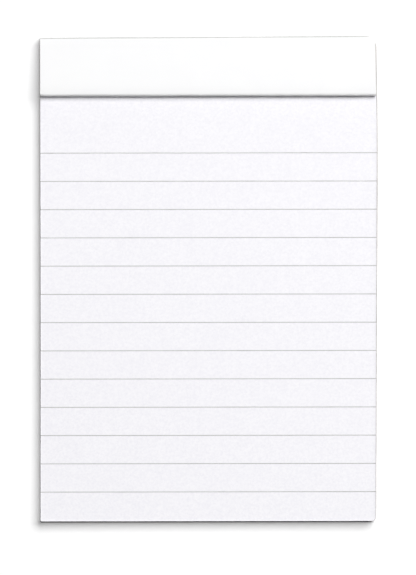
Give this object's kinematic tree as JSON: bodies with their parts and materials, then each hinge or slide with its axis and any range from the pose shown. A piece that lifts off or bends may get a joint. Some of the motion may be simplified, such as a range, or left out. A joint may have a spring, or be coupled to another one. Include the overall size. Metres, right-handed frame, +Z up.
{
  "type": "notepad",
  "caption": "Thin rectangular writing pad with ruled white sheets glued at the head, a grey board behind them and a white card wrap folded over the head into a plain header strip.",
  "frame": {"origin": "centre of the pad's outline on its flat resting face, the back panel of the card wrap", "axes": "+X across the sheets, +Y along the sheets towards the glued head, +Z up out of the writing surface"},
  "size_m": [0.104, 0.15, 0.0052],
  "materials": {
    "wrap_card": "smooth white coated card, matt",
    "grey_board": "uncoated grey board with short fibres",
    "writing_paper": "uncoated cool white writing paper, matt",
    "padding_adhesive": "dried flexible white adhesive, slight gloss",
    "ruling_ink": "light grey ink printed on the top sheet"
  },
  "bodies": {
    "root": {"wrap_cover": "wrap_card", "backing_board": "grey_board", "ruled_sheets": "writing_paper", "padding_glue": "padding_adhesive", "ruled_lines": "ruling_ink"}
  },
  "joints": []
}
